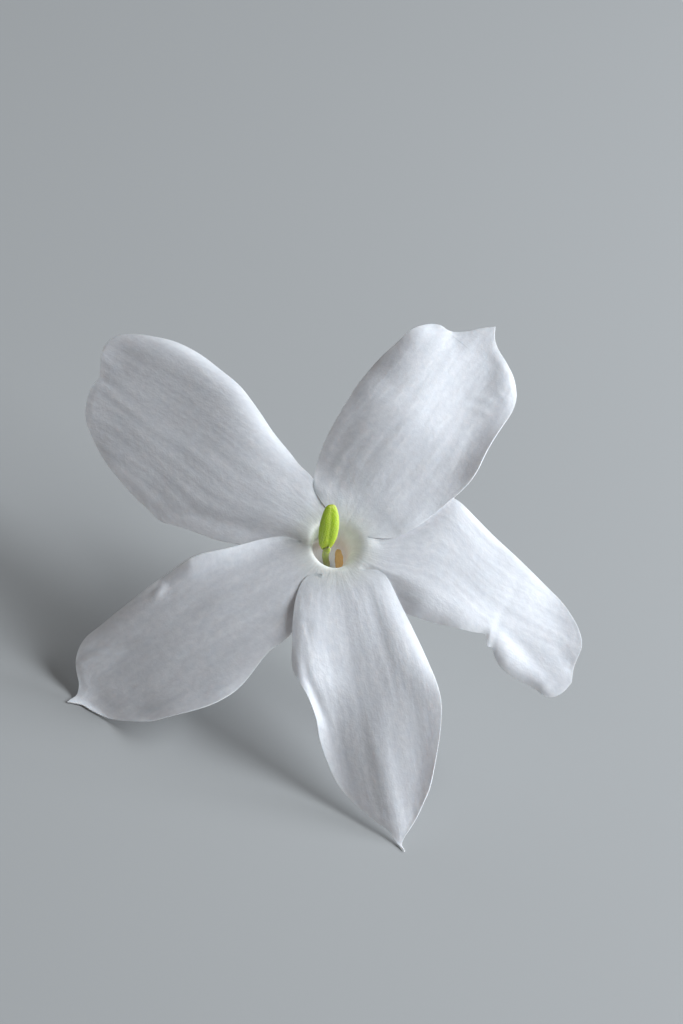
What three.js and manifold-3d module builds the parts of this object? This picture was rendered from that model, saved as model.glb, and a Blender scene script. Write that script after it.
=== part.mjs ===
import * as THREE from "three";
import { mergeVertices } from "three/addons/utils/BufferGeometryUtils.js";
import Module from "manifold-3d";

// A single jasmine blossom as picked, lying on the tips of its two lowest lobes and on its stalk.
// Millimetres, +Z up. Each organ is shaped in the flower's own frame: the origin is the middle of the
// mouth, +Z runs out of the mouth, the lobes spread near the XY plane and the tube runs down -Z.
// The finished flower is then leaned back until it rests on the level surface at z = 0.

const wasm = await Module();
wasm.setup();

// Resting pose.
const axisElevation = 50; // degrees from level up to the line that looks out of the mouth
const throatHeight = 13.75; // middle of the mouth above the surface

// Corolla: one hollow tube and five lobes, grown together.
const bladeThickness = 0.6;
const tubeLength = 18;
const tubeBend = 22; // degrees that the tube curves over its length
const mouthRadius = 1.5;
const rimRadius = 2.5; // where neighbouring lobes part
const throatDip = 0.45; // how far the lobes' feet roll down into the mouth
const baseOverlap = 3; // degrees that neighbouring lobes share at their feet
const tubeSides = 28;
const lobeRows = 20;
const lobeColumns = 12;
const tipWidth = 0.6;
const shortestEdge = 0.02; // finer slivers left by joining the lobes are closed up

// Directions, in degrees round the axis, of the notches between the lobes.
const notch = { upperLeft: 121, upperRight: 38, right: -25, bottom: -91, left: 199 };

// Each lobe's edges run from the rim to the tip, as [along, across] in mm; across is to the left as one
// looks outward. drop is how far the tip curls back, crown how much the edges fall behind the middle,
// and lift raises the left and right edge near the base, where one lobe laps over its neighbour.
const lobes = {
  side: {
    bearing: 165, reach: 22.5, rightNotch: notch.upperLeft, leftNotch: notch.left,
    drop: 2.4, crown: 0.5, twist: 0.2, lift: [-0.4, -0.35],
    left: [
      [4, 3.3], [6.6, 4.8], [9, 5.5], [11.4, 6], [14.6, 5.7],
      [17.2, 5], [19.3, 4], [21, 2.6], [21.9, 1],
    ],
    right: [
      [4.3, 3.2], [7.1, 4], [10.7, 5.1], [13.9, 6], [17, 6.3],
      [20.3, 5.5], [22.3, 4.4], [23.1, 3], [22.9, 1.5],
    ],
  },
  top: {
    bearing: 78, reach: 23.1, rightNotch: notch.upperRight, leftNotch: notch.upperLeft,
    drop: 1.7, crown: 0.7, twist: 0.3, lift: [0.45, 0.45],
    left: [
      [2.8, 3.6], [4.2, 4.5], [6.9, 5.3], [10.2, 5.6], [13.6, 5.8],
      [17.3, 5.2], [19.3, 4.5], [20.3, 3.2], [21.4, 1.4],
    ],
    right: [
      [3.5, 3.4], [5.6, 4.4], [9.5, 5.3], [12.1, 5.2],
      [15.3, 4.9], [18.2, 4.7], [20.1, 3.4], [21.3, 1.5],
    ],
  },
  right: {
    bearing: -1.3, reach: 20.3, rightNotch: notch.right, leftNotch: notch.upperRight,
    drop: 3, crown: 0.9, twist: 0.3, lift: [-0.4, -0.35],
    left: [
      [3, 4], [4.8, 6.2], [6.5, 7.4], [8.6, 7.2],
      [11.7, 6.2], [15.2, 5.1], [18.1, 3.6], [19.8, 1.9],
    ],
    right: [
      [4.2, 1.7], [7.2, 2.3], [9.8, 2], [12.4, 1.1], [13.3, 1.5],
      [14.4, 2.5], [16.6, 2.9], [18.6, 2.8], [19.8, 1.7],
    ],
  },
  bottom: {
    bearing: -55.3, reach: 22.9, rightNotch: notch.bottom, leftNotch: notch.right,
    drop: 2.5, crown: 0.8, twist: 0, lift: [0.4, 0.45],
    left: [
      [2.8, 3.1], [4.6, 3.7], [7, 4.3], [10.1, 4.9], [13.1, 5.1],
      [15.9, 4.3], [18.9, 3], [20.7, 1.8], [21.9, 0.7],
    ],
    right: [
      [2.1, 2.8], [3.8, 3.9], [6.8, 4.8], [8.9, 5.1], [11.1, 4.4],
      [13.9, 4.1], [17.1, 3.4], [19.6, 1.9], [21.3, 0.7],
    ],
  },
  lower: {
    bearing: -125.6, reach: 23, rightNotch: notch.left, leftNotch: notch.bottom,
    drop: 2.5, crown: 0.4, twist: -0.2, lift: [-0.4, 0.45],
    left: [
      [4.1, 3.2], [7, 4.2], [9.1, 4.6], [12.4, 5.7],
      [15, 5.5], [18.5, 4.3], [20.6, 2.6], [21.9, 0.9],
    ],
    right: [
      [2.8, 2.4], [4.5, 3], [7.3, 3.6], [9.8, 4.5], [13, 4.5],
      [17, 4.1], [19.2, 3.7], [20.6, 2.5], [21.4, 1],
    ],
  },
};

// Calyx, stalk and the organs inside the tube.
const calyxHeight = 3;
const calyxRadius = 1.95;
const calyxWall = 0.4;
const calyxTeeth = 5;
const toothLength = 4.2;
const seatGap = 0.3; // clearance kept between organs
const stalkRadius = 0.55;
const stalkRun = 9; // length of stalk that lies along the surface
const styleRadius = 0.24;
const stigma = { foot: [-0.5, -0.4, -0.2], tip: [-1.35, 1.8, 3], halfWidth: 0.75, halfDepth: 0.42 };
const antherLength = 2.6;
const antherBearing = -42;

const petalWhite = new THREE.MeshStandardMaterial({ color: 0xf3f1f4, roughness: 0.62, metalness: 0 });
const calyxGreen = new THREE.MeshStandardMaterial({ color: 0x6f8f3c, roughness: 0.6, metalness: 0 });
const stalkGreen = new THREE.MeshStandardMaterial({ color: 0x5d7a33, roughness: 0.6, metalness: 0 });
const stigmaGreen = new THREE.MeshStandardMaterial({ color: 0xa8c83a, roughness: 0.5, metalness: 0 });
const antherYellow = new THREE.MeshStandardMaterial({ color: 0xd9973a, roughness: 0.8, metalness: 0 });

const radians = THREE.MathUtils.degToRad;
const smooth = THREE.MathUtils.smoothstep;

// Closed three.js geometry as a manifold-3d solid.
function solid(geometry) {
  const bare = new THREE.BufferGeometry().setAttribute("position", geometry.getAttribute("position"));
  bare.setIndex(geometry.index);
  const merged = mergeVertices(bare, 1e-4);
  return new wasm.Manifold(
    new wasm.Mesh({
      numProp: 3,
      vertProperties: new Float32Array(merged.attributes.position.array),
      triVerts: new Uint32Array(merged.index.array),
    }),
  );
}

// Drops the specks that joining leaves.
function largestBody(manifold) {
  return manifold.decompose().reduce((most, body) => (body.volume() > most.volume() ? body : most));
}

function geometryOf(manifold) {
  const mesh = manifold.getMesh();
  return new THREE.BufferGeometry()
    .setAttribute("position", new THREE.BufferAttribute(mesh.vertProperties, 3))
    .setIndex(new THREE.BufferAttribute(mesh.triVerts, 1));
}

// Bends whatever is built round the straight tube: the tube's axis becomes an arc that leans to +Y.
function bendTube(geometry) {
  const arcRadius = tubeLength / radians(tubeBend);
  const position = geometry.getAttribute("position");
  for (let i = 0; i < position.count; i++) {
    const z = position.getZ(i);
    if (z >= 0) continue;
    const angle = -z / arcRadius;
    const y = position.getY(i);
    position.setY(i, arcRadius * (1 - Math.cos(angle)) + y * Math.cos(angle));
    position.setZ(i, -arcRadius * Math.sin(angle) + y * Math.sin(angle));
  }
  return geometry;
}

function lathe(profile, sides) {
  const outline = profile.map(([radius, z]) => new THREE.Vector2(radius, z));
  return new THREE.LatheGeometry(outline, sides).rotateX(Math.PI / 2);
}

// One edge of a lobe: up the rim just past its notch, then out along the drawn edge to the tip.
function lobeEdge(lobe, side, notchBearing, points) {
  const turn = Math.abs(radians(((notchBearing - lobe.bearing + 540) % 360) - 180)) + radians(baseOverlap);
  const foot = (radius) => [radius * Math.cos(turn), radius * Math.sin(turn)];
  const path = [foot(mouthRadius + 0.2), foot(rimRadius), ...points, [lobe.reach, tipWidth / 2]];
  return new THREE.SplineCurve(path.map(([along, across]) => new THREE.Vector2(along, side * across)));
}

// A blade from its front face: rows run out along the lobe and columns across it, and the back face has
// the same triangles as the front.
function bladeSolid(front, rows, columns, thickness) {
  const nudge = 1e-3;
  const face = [];
  const back = [];
  for (let row = 0; row <= rows; row++) {
    for (let column = 0; column <= columns; column++) {
      const s = row / rows;
      const t = (2 * column) / columns - 1;
      const point = front(s, t);
      const out = front(Math.min(s + nudge, 1), t).sub(front(Math.max(s - nudge, 0), t));
      const across = front(s, Math.min(t + nudge, 1)).sub(front(s, Math.max(t - nudge, -1)));
      face.push(point);
      back.push(point.clone().addScaledVector(out.cross(across).normalize(), -thickness));
    }
  }
  const points = [...face, ...back];
  const triangles = [];
  const at = (row, column) => row * (columns + 1) + column;
  for (let row = 0; row < rows; row++) {
    for (let column = 0; column < columns; column++) {
      const [a, b] = [at(row, column), at(row + 1, column)];
      const [c, d] = [at(row + 1, column + 1), at(row, column + 1)];
      triangles.push(a, b, c, a, c, d);
      triangles.push(...[a, c, b, a, d, c].map((corner) => corner + face.length));
    }
  }
  const rimPath = [];
  for (let row = 0; row < rows; row++) rimPath.push(at(row, 0));
  for (let column = 0; column < columns; column++) rimPath.push(at(rows, column));
  for (let row = rows; row > 0; row--) rimPath.push(at(row, columns));
  for (let column = columns; column > 0; column--) rimPath.push(at(0, column));
  rimPath.forEach((from, i) => {
    const to = rimPath[(i + 1) % rimPath.length];
    triangles.push(to, from, from + face.length, to, from + face.length, to + face.length);
  });
  const geometry = new THREE.BufferGeometry().setFromPoints(points).setIndex(triangles);
  return solid(geometry);
}

function lobeSolid(lobe) {
  const leftEdge = lobeEdge(lobe, 1, lobe.leftNotch, lobe.left);
  const rightEdge = lobeEdge(lobe, -1, lobe.rightNotch, lobe.right);
  const baseBulge = 0.2 * rimRadius;
  const turn = new THREE.Matrix4().makeRotationZ(radians(lobe.bearing));
  const front = (s, t) => {
    const left = leftEdge.getPointAt(s);
    const right = rightEdge.getPointAt(s);
    const flat = right.lerp(left, (t + 1) / 2);
    flat.x += baseBulge * (1 - t * t) * (1 - smooth(s, 0, 0.3));
    const outward = Math.max(0, (flat.length() - rimRadius) / (lobe.reach - rimRadius));
    const spread = smooth(s, 0.02, 0.35);
    const lap = (0.3 + 0.7 * smooth(s, 0.03, 0.18)) * (1 - smooth(s, 0.35, 0.75));
    const inward = Math.max(0, (rimRadius - flat.length()) / (rimRadius - mouthRadius));
    const height =
      -throatDip * inward ** 2 -
      lobe.drop * outward ** 2.2 -
      lobe.crown * t * t * spread * (1 - 0.6 * smooth(s, 0.7, 1)) +
      lobe.twist * t * spread +
      (t > 0 ? lobe.lift[0] : lobe.lift[1]) * t * t * lap;
    return new THREE.Vector3(flat.x, flat.y, height).applyMatrix4(turn);
  };
  return bladeSolid(front, lobeRows, lobeColumns, bladeThickness);
}

function makeCorolla() {
  const inside = [[2.35, -0.3], [1.95, -0.42], [1.66, -0.62], [mouthRadius, -1], [1.4, -2], [1.36, -5.2]];
  const outside = [[1.82, -5.2], [1.86, -2.2], [1.98, -1.4], [2.15, -1], [2.35, -0.75]];
  const lower = [[0.95, -8], [0.86, -tubeLength], [1.26, -tubeLength], [1.36, -8]];
  const profile = [...inside, ...lower, ...outside, inside[0]];
  let corolla = solid(bendTube(lathe(profile, tubeSides)));
  for (const lobe of Object.values(lobes)) corolla = corolla.add(lobeSolid(lobe));
  return corolla;
}

function makeCalyx() {
  const foot = -tubeLength - seatGap;
  const rim = foot + calyxHeight;
  const inner = calyxRadius - calyxWall;
  const profile = [
    [0, foot - 0.9], [0.75, foot - 0.85], [1.35, foot - 0.35], [1.75, foot + 0.7], [calyxRadius, rim],
    [inner, rim], [inner - 0.1, foot + 0.5], [1.2, foot], [0, foot],
  ];
  let calyx = solid(bendTube(lathe(profile, 20)));
  for (let i = 0; i < calyxTeeth; i++) {
    const tooth = new THREE.ConeGeometry(0.42, toothLength, 6).rotateX(Math.PI / 2).scale(0.62, 1, 1);
    tooth.translate(0, 0, toothLength / 2).rotateY(radians(7));
    tooth.translate(calyxRadius - 0.18, 0, rim - 0.5).rotateZ(radians((360 * (i + 0.5)) / calyxTeeth));
    calyx = calyx.add(solid(bendTube(tooth)));
  }
  return calyx;
}

// A round rod along a smooth path, with flat ends.
function rod(path, radius, sides, steps) {
  const section = new THREE.Shape();
  section.absarc(0, 0, radius, 0, 2 * Math.PI, false);
  const curve = new THREE.CatmullRomCurve3(path.map((p) => new THREE.Vector3(...p)));
  const options = { extrudePath: curve, steps, curveSegments: sides, bevelEnabled: false };
  return new THREE.ExtrudeGeometry(section, options);
}

// A long bead between two points, such as an anther or the stigma.
function bead(from, to, halfWidth, halfDepth) {
  const start = new THREE.Vector3(...from);
  const end = new THREE.Vector3(...to);
  const length = start.distanceTo(end);
  const shape = new THREE.SphereGeometry(1, 12, 10).scale(halfWidth, length / 2, halfDepth);
  const aim = new THREE.Quaternion().setFromUnitVectors(
    new THREE.Vector3(0, 1, 0),
    end.clone().sub(start).normalize(),
  );
  return shape.applyQuaternion(aim).translate(...start.add(end).multiplyScalar(0.5).toArray());
}

function makePistil() {
  const [x, y, z] = stigma.foot;
  const ovaryTop = -tubeLength + 1.6;
  const path = [
    [0, 0, ovaryTop - 0.4], [0, 0, -12], [0, 0, -7], [0, 0, -3.6], [0.5 * x, 0.4 * y, -1.8], [x, y, z + 0.4],
  ];
  const style = solid(bendTube(rod(path, styleRadius, 6, 22)));
  const ovary = solid(bendTube(bead([0, 0, -tubeLength], [0, 0, ovaryTop], 0.55, 0.55)));
  return ovary.add(style).add(solid(bead(stigma.foot, stigma.tip, stigma.halfWidth, stigma.halfDepth)));
}

function makeStamen(bearing) {
  const anther = bead([0.9, 0, -1.2 - antherLength], [0.84, 0, -1.2], 0.3, 0.36);
  const filament = rod([[0.88, 0, -2.6], [0.86, 0, -4.2], [0.9, 0, -5.1]], 0.15, 5, 4);
  const place = new THREE.Matrix4().makeRotationZ(radians(bearing));
  const parts = [anther, filament].map((part) => solid(bendTube(part.applyMatrix4(place))));
  return parts[0].add(parts[1]);
}

const part = new THREE.Group();
const flower = new THREE.Group();
const lean = radians(90 - axisElevation);
flower.rotation.x = lean;
flower.position.z = throatHeight;
part.add(flower);

// What would reach below the surface is cut off level, which leaves the small flats it rests on.
function aboveSurface(manifold) {
  const up = [0, Math.sin(lean), Math.cos(lean)];
  const trimmed = manifold.trimByPlane(up, -throatHeight);
  return largestBody(trimmed.asOriginal().simplify(shortestEdge));
}

function place(name, manifold, material, group = flower) {
  const mesh = new THREE.Mesh(geometryOf(manifold), material);
  mesh.name = name;
  group.add(mesh);
}

place("corolla", aboveSurface(makeCorolla()), petalWhite);
place("calyx", aboveSurface(makeCalyx()), calyxGreen);
place("pistil", makePistil(), stigmaGreen);
place("stamen_right", makeStamen(antherBearing), antherYellow);
place("stamen_left", makeStamen(antherBearing + 180), antherYellow);

// The stalk leaves the calyx in line with the tube, then sweeps down to lie along the surface.
function makeStalk() {
  flower.updateMatrixWorld(true);
  const station = (z) => {
    const straight = new THREE.BufferGeometry().setFromPoints([new THREE.Vector3(0, 0, z)]);
    const point = new THREE.Vector3().fromBufferAttribute(bendTube(straight).getAttribute("position"), 0);
    return point.applyMatrix4(flower.matrixWorld);
  };
  const top = station(-tubeLength - 2 * seatGap - 0.9);
  const heading = top.clone().sub(station(-tubeLength - seatGap)).normalize();
  const second = top.clone().addScaledVector(heading, 0.7);
  const rest = stalkRadius - 0.06;
  const path = [
    top.toArray(), second.toArray(),
    [second.x + 0.1, second.y + 1.7, rest + 0.3 * (second.z - rest)],
    [second.x + 0.3, second.y + 3.4, rest + 0.03],
    [second.x + 0.7, second.y + 0.6 * stalkRun, rest],
    [second.x + 1.6, second.y + stalkRun, rest],
  ];
  return solid(rod(path, stalkRadius, 10, 18)).trimByPlane([0, 0, 1], 0);
}

place("pedicel", makeStalk(), stalkGreen, part);

// The origin is the middle of the part's footprint, on the surface.
const extent = new THREE.Box3().setFromObject(part, true);
const middle = extent.getCenter(new THREE.Vector3());
for (const child of part.children) child.position.sub(new THREE.Vector3(middle.x, middle.y, 0));

export default part;
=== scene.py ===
import math

import bpy
import numpy as np
from mathutils import Matrix, Vector


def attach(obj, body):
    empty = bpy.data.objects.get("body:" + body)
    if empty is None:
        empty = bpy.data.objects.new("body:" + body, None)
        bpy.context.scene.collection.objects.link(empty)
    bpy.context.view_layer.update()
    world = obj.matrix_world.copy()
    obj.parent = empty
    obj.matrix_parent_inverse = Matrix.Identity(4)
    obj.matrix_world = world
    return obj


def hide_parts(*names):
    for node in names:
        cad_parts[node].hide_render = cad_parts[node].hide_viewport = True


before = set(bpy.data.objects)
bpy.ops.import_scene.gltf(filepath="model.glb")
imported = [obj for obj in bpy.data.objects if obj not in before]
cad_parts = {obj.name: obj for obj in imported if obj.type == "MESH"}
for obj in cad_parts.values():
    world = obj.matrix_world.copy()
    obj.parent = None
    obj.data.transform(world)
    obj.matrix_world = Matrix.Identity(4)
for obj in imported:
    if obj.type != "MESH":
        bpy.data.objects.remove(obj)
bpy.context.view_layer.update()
mm = 0.001

# How the flower lies. Its own frame has the mouth's middle as origin, x and y across the mouth, z out of it.
lying = {
    "mouth": (0.7235, -6.177, 13.75),  # mm, middle of the mouth in the part's frame
    "axisElevation": 50,  # degrees from level up to the line out of the mouth
    "tubeLength": 18,  # mm
    "tubeBend": 22,  # degrees that the tube curves over its length
}

# where neighbouring lobes part, in degrees round the mouth
notches = {"upperLeft": 121, "upperRight": 38, "right": -25, "bottom": -91, "left": 199}

corolla = {
    "rimRadius": 2.5,  # mm, where neighbouring lobes part
    "columns": 60,
    "tubeRows": 26,
    "lobeRows": 96,
    "thickness": 0.3,  # mm
    "marginShare": 0.3,  # the margins are this share as thick
    "rowBulge": 1.4,  # mm that the rows bow outward near the base
    "bulgeAt": 0.12,
    "throat": [  # radius and height of the inner wall from the tube's foot to the rim, mm
        (0.9, -18), (0.92, -14), (1.0, -8.5), (1.15, -5.4), (1.22, -2.4),
        (1.3, -1.2), (1.4, -0.68), (1.55, -0.36), (1.78, -0.15), (2.05, -0.04), (2.25, -0.01), (2.5, 0),
    ],
    "lip": [  # the same where the mouth has a sharper edge
        (0.9, -18), (0.92, -14), (1.05, -8.5), (1.4, -5.4), (1.6, -2.4),
        (1.62, -1.2), (1.64, -0.45), (1.71, -0.12), (1.86, -0.02), (2.14, 0), (2.5, 0),
    ],
    "lipBearing": 245,
    "seed": 11,
}

# Each lobe's edges run from its notch to the tip as (along, across) in mm, across to the left looking out.
# midline: height of the lobe's middle at places along it.
# tilt, crownLeft, crownRight, leftMargin, rightMargin: how the section across it leans, falls away on each
# side and rolls up or down at its margins, in mm for a lobe 10 mm wide.
# roofRight: slope of the right half from the keel.
# tuck: which margins go under the neighbour, from and to what t, how deep, and between which places along the
# lobe that ends.
# folds: half width, then (along, across, height) points of a ridge or crease.
# lag: how far the rows bow back near a blunt tip.
lobes = {
    "side": {
        "bearing": 165, "tip": (22.98, -1.8), "notches": ("upperLeft", "left"), "lag": 1.2,
        "left": [
            (4, 3.3), (6.6, 4.8), (9, 5.5), (10.4, 5.9), (11.3, 6.2), (12.4, 6.05), (14.6, 5.7), (17.2, 5),
            (19.2, 4.05), (20.4, 3.3), (21.1, 2.55), (21.6, 1.7), (21.88, 0.9), (21.9, 0.3), (21.92, -0.15),
            (22.25, -0.7), (22.7, -1.3),
        ],
        "right": [
            (4.3, -3.2), (5.9, -3.6), (7.1, -4), (9, -4.5), (10.7, -5.1), (13, -5.85), (14.9, -6.1),
            (17, -6.3), (19, -6.05), (20.8, -5.3), (22.2, -4.5), (22.9, -3.8), (23.2, -3.05), (23.18, -2.4),
        ],
        "midline": [(2.5, 0), (5, -0.12), (9, -0.5), (14, -1.2), (19, -2), (23.4, -2.8)],
        "tilt": [
            (3, 0.1), (5, 0.1), (6.5, -0.05), (9, -0.2), (11.5, -0.3), (16.5, -0.25), (20, -0.35), (23, -0.2),
        ],
        "crownLeft": [(3, 0.1), (5, 0.3), (9, 0.4), (16.5, 0.3), (20, 0.1), (23, 0)],
        "crownRight": [
            (3, 0.1), (5, 0.4), (6.5, 0.45), (9, 0.2), (11.5, -0.1), (15, -0.4), (19, -0.1), (23, 0),
        ],
        "leftMargin": [(3, 0), (6.5, 0.1), (11.5, 0.1), (16, 0), (23, 0)],
        "rightMargin": [
            (3, 0), (5, -0.1), (7, -0.45), (11.5, -0.6), (14, -0.8), (17, -0.9), (20, -0.6), (23, -0.3),
        ],
        "tuck": [("left", 0.4, 0.9, 0.12, 3.8, 6.5), ("right", 0.4, 0.9, 0.1, 3.2, 4.6)],
        "folds": [
            (0.55, (4.2, 2.4, 0), (5.9, 3.1, -0.07), (8.5, 3.9, -0.08), (10, 4.6, -0.05), (12, 5.9, -0.03)),
            (0.5, (9, 3, 0), (12, 4.9, 0.04), (13, 5.6, 0.05)),
            (0.35, (20, -0.5, 0), (21.2, -0.1, -0.03), (22, -0.2, -0.05)),
            (0.4, (20.4, -1.4, 0), (21.6, -1.4, 0.03), (22.8, -1.6, 0.03)),
        ],
    },
    "top": {
        "bearing": 78, "tip": (22.9, 0), "notches": ("upperRight", "upperLeft"), "lag": 0.6,
        "left": [
            (2.6, 3.5), (3.4, 4.1), (4.2, 4.5), (5.9, 5.05), (7.8, 5.4), (10.2, 5.65), (12.4, 5.8),
            (14.8, 5.7), (16.7, 5.35), (18.3, 5), (19.3, 4.5), (20, 3.95), (20.3, 3.4), (20.3, 2.8),
            (20.6, 2.2), (21.3, 1.45), (22.1, 0.8),
        ],
        "right": [
            (2.8, -2.9), (3.5, -3.5), (4.5, -4), (5.6, -4.4), (7.5, -4.9), (9.5, -5.35), (10.9, -5.4),
            (12.6, -5.15), (14.2, -5), (15.7, -4.95), (17.2, -4.9), (18.4, -4.6), (19.3, -4.1), (20.2, -3.3),
            (20.9, -2.2), (21.4, -1.2), (22, -0.5),
        ],
        "midline": [
            (2.5, 0), (4, 0.02), (6.5, 0.13), (9, 0.2), (11.5, -0.05), (14, -0.75), (16.5, -1.6), (19, -2.25),
            (23, -2.8),
        ],
        "tilt": [
            (3, -0.2), (4, -0.3), (6.5, 0), (9, 0.15), (11.5, 0.3), (14, 0.5), (16.5, 0.55), (19, 0.25),
            (20.5, 0), (23, 0),
        ],
        "crownLeft": [
            (3, 0.2), (6.5, 0.9), (11.5, 1.1), (14, 1.4), (16.5, 0.5), (19, -0.3), (20.5, 0), (23, 0),
        ],
        "crownRight": [
            (3, 0.4), (6.5, 0.25), (9, 0.25), (11.5, -0.25), (14, -0.8), (16.5, -1.3), (19, -0.9),
            (20.5, -0.3), (23, 0),
        ],
        "leftMargin": [(3, 0), (9, 0), (11.5, -0.25), (14, -0.2), (16.5, -0.35), (19, -0.1), (23, 0)],
        "rightMargin": [(3, 0), (6.5, 0), (9, 0.3), (14, 0.35), (16.5, -0.1), (19, -0.4), (23, 0)],
        "tuck": [],
        "folds": [
            (0.8, (17.2, -2.4, 0), (18.5, -1.9, -0.06), (20, -1.4, -0.09)),
            (0.3, (16.2, -1.4, 0), (16.7, -2, 0.05), (17, -2.9, 0.06), (16.8, -3.6, 0)),
            (0.3, (15.3, -1.6, 0), (15.7, -2.3, 0.045), (15.9, -3.2, 0.055), (15.7, -4, 0)),
            (0.25, (17.8, -2.8, 0), (18, -3.4, 0.05), (17.9, -4, 0.03)),
            (0.6, (18.6, 1.1, 0), (19.4, 1.5, -0.04), (20.3, 2, -0.04)),
            (0.5, (19, 3, 0), (20.2, 3.2, 0.05)),
        ],
    },
    "right": {
        "bearing": -1.3, "tip": (20.15, -1.3), "notches": ("right", "upperRight"), "lag": 1.2,
        "left": [
            (3, 4), (4.1, 5.5), (5.2, 6.7), (6.2, 7.2), (7.2, 7.25), (8.6, 6.9), (10.2, 6.4), (12.2, 5.8),
            (14.2, 5.2), (15.8, 4.7), (17.1, 4.2), (18.5, 3.3), (19.4, 2.4), (19.8, 1.6), (19.85, 0.8),
            (19.85, 0), (20, -0.7),
        ],
        "right": [
            (3, -1.5), (4.2, -1.7), (5.6, -2.15), (7, -2.4), (8.6, -2.2), (10.4, -1.8), (11.9, -1.4),
            (12.65, -1.1), (12.98, -1.3), (13.15, -1.7), (13.35, -1.85), (13.6, -1.75), (13.85, -2),
            (14.3, -2.45), (15, -2.8), (16, -2.95), (17.2, -2.9), (18, -2.95), (18.7, -3.05), (19.3, -2.85),
            (19.85, -2.2),
        ],
        "midline": [
            (2.5, 0), (4, -0.05), (6.5, -0.25), (9, -0.6), (11.5, -1.05), (14, -1.6), (16.5, -2.1),
            (20, -2.6),
        ],
        "tilt": [(3, -0.3), (6.5, -0.15), (10, -0.05), (12, -0.15), (16, -0.2), (18, -0.2), (20, 0.1)],
        "crownLeft": [(3, 0), (6.5, -0.2), (9, 0.3), (10.5, 0.5), (14, 0.3), (16.5, 0.4), (18, 0.2), (20, 0)],
        "crownRight": [
            (3, 0), (6.5, -0.3), (9, -0.8), (10.5, -0.9), (12.7, -0.45), (15, -0.6), (17, 0), (19, 0.3),
        ],
        "leftMargin": [(3, 0), (6, 0.15), (9, -0.1), (12, 0), (15, 0), (17, 0.15), (20, 0.1)],
        "rightMargin": [
            (3, -0.1), (6.5, -0.5), (9, -0.9), (11.5, -0.55), (13.1, -0.3), (14.5, -0.8), (17, -0.6),
            (20, -0.4),
        ],
        "tuck": [("left", 0.1, 0.75, 0.14, 4.6, 7.5), ("right", 0.35, 0.9, 0.5, 5, 8)],
        "folds": [
            (0.6, (12.5, 0.5, 0), (14.3, -0.2, -0.05), (16, -0.8, -0.07), (17.6, -1.2, -0.04), (19, -1.4, 0)),
            (0.7, (14.5, -1, 0), (16.5, -1.9, 0.05), (18.5, -2.2, 0.05), (19.6, -1.8, 0.03)),
            (0.5, (17.5, 1, 0), (18.5, 0.5, -0.04), (19.8, -0.2, -0.08)),
            (0.6, (6.5, -0.6, 0), (9, -0.3, 0.03), (12, 0, 0.04), (13.5, 0.2, 0)),
        ],
    },
    "bottom": {
        "bearing": -55.3, "tip": (23.3, 0.05), "notches": ("bottom", "right"), "lag": 0,
        "left": [
            (2.4, 2.6), (2.8, 3.1), (3.6, 3.45), (4.6, 3.7), (5.8, 4), (7, 4.3), (8.6, 4.65), (10.1, 4.9),
            (11.6, 5.1), (13.1, 5.1), (14.6, 4.75), (15.9, 4.3), (17.5, 3.65), (18.9, 3), (19.9, 2.3),
            (20.7, 1.7), (21.4, 1.05), (22, 0.45), (22.6, 0.14),
        ],
        "right": [
            (1.9, -2.3), (2.3, -3), (3, -3.5), (3.8, -3.9), (5.2, -4.4), (6.8, -4.8), (8, -5.1), (8.9, -5.15),
            (10, -4.8), (11.1, -4.4), (12.4, -4.15), (13.9, -4.1), (15.4, -3.85), (17.1, -3.4), (18.4, -2.7),
            (19.6, -1.9), (20.6, -1.1), (21.3, -0.5), (22.3, -0.15),
        ],
        "midline": [(2.5, 0), (4, 0.04), (6.5, -0.06), (9, -0.3), (11.5, -0.6), (16.5, -1.35), (23, -2.5)],
        "tilt": [(2, 0), (6.5, 0.1), (9, 0.35), (11.5, 0.45), (14, 0.2), (16.5, 0), (20, -0.1), (23, 0)],
        "crownLeft": [(2, 0), (4, 0.15), (6.5, 0), (9, -0.1), (23, 0)],
        "crownRight": [
            (2, 0), (3, -0.1), (4.2, -0.5), (6.5, -1), (9, -1.5), (10.2, -1.2), (11.5, -0.4), (13, 0),
            (23, 0),
        ],
        "leftMargin": [
            (2, 0), (4, -0.25), (6.5, -0.55), (9, -0.6), (11.5, -0.25), (13, 0), (16.5, 0.3), (20, 0.5),
            (23, 0),
        ],
        "rightMargin": [
            (2, 0), (4.2, -0.3), (6.5, -0.6), (9, -0.75), (10.2, -0.2), (11.5, 0.45), (14, 0.6), (16.5, 0.4),
            (19, 0), (23, 0),
        ],
        "roofRight": [(10, 0), (12, 0.05), (14, 0.15), (16.5, 0.22), (19, 0.24), (22, 0.26)],
        "tuck": [],
        "folds": [
            (0.3, (7.6, -4.1, 0), (9.5, -4.3, -0.08), (11.2, -3.8, -0.13), (12.5, -3.5, -0.08),
             (13.5, -3.3, 0)),
            (0.25, (3.4, -3, 0), (4.2, -3.2, -0.03), (5, -3.1, 0)),
            (0.25, (5, -3.8, 0), (5.8, -3.4, -0.04), (6.8, -3.6, 0)),
            (0.35, (9.2, -4.9, 0.03), (11, -4.3, 0.06), (12.4, -4.1, 0.04), (13.5, -4, 0)),
            (0.85, (12, 0.1, 0), (14.2, 0.1, 0.05), (16.2, 0, 0.11), (18, 0, 0.14), (20.2, 0, 0.13),
             (22.4, 0, 0.05)),
            (0.5, (3, 1.4, 0), (5, 1.6, -0.03), (8, 1.8, -0.05), (11, 2, 0)),
        ],
    },
    "lower": {
        "bearing": -125.6, "tip": (23, 0), "notches": ("left", "bottom"), "lag": 0.8,
        "left": [
            (2.8, 2.4), (4.1, 3.2), (5.5, 3.8), (7, 4.2), (8.2, 4.3), (9.1, 4.55), (10.6, 5.15), (11.7, 5.5),
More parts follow.
